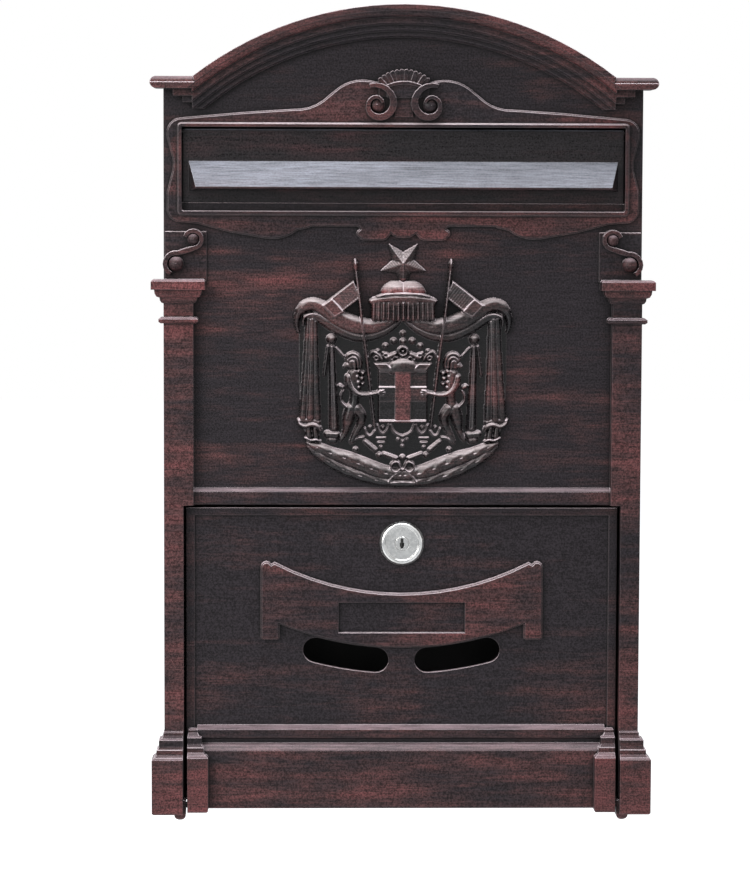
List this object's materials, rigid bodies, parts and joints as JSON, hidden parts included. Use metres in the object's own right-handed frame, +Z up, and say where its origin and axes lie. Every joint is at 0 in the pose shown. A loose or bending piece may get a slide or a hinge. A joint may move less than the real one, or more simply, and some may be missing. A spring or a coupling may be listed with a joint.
{
  "type": "wall mailbox",
  "caption": "Wall mailbox with an arched cast front, a top-hung slot flap, a drop-down door with a cam lock and a sheet-metal box behind.",
  "frame": {"origin": "centre of the four wall screws on the back face", "axes": "+X to the right seen from the front, +Y into the wall, +Z up; the front faces along -Y"},
  "size_m": [0.255, 0.0855, 0.4143],
  "materials": {
    "casting": "satin black with wiped red-brown patina",
    "badge": "semi-gloss black with red-brown and silver highlights",
    "flap": "satin blue-black, finely brushed",
    "sheet": "satin black powder coat",
    "lock_chrome": "polished chrome",
    "zinc": "zinc plated",
    "pin_steel": "drawn steel",
    "rivet": "black coated aluminium"
  },
  "bodies": {
    "root": {"back_plate": "sheet", "side_wrap": "sheet", "bottom_plate": "sheet", "body_rivets": "rivet", "front_casting": "casting", "front_screws": "zinc", "crest": "badge", "crest_nuts": "zinc", "flap_pin_left": "pin_steel", "flap_pin_right": "pin_steel", "door_pin_left": "pin_steel", "door_pin_right": "pin_steel"},
    "flap": {"flap": "flap"},
    "door": {"door_casting": "casting", "lock_body": "lock_chrome", "lock_washer": "zinc", "lock_nut": "zinc"},
    "lock": {"lock_plug": "lock_chrome", "lock_cam": "zinc", "cam_washer": "zinc", "cam_screw": "zinc"}
  },
  "joints": [
    {"name": "flap_hinge", "type": "hinge", "parent": "root", "child": "flap", "pos_m": [0, -0.0708, 0.13735], "axis": [-1, 0, 0], "range_deg": [0, 80]},
    {"name": "door_hinge", "type": "hinge", "parent": "root", "child": "door", "pos_m": [0, -0.074, -0.206], "axis": [1, 0, 0], "range_deg": [0, 170]},
    {"name": "lock_turn", "type": "hinge", "parent": "door", "child": "lock", "pos_m": [0, -0.06, -0.0717], "axis": [0, -1, 0], "range_deg": [0, 90]}
  ]
}
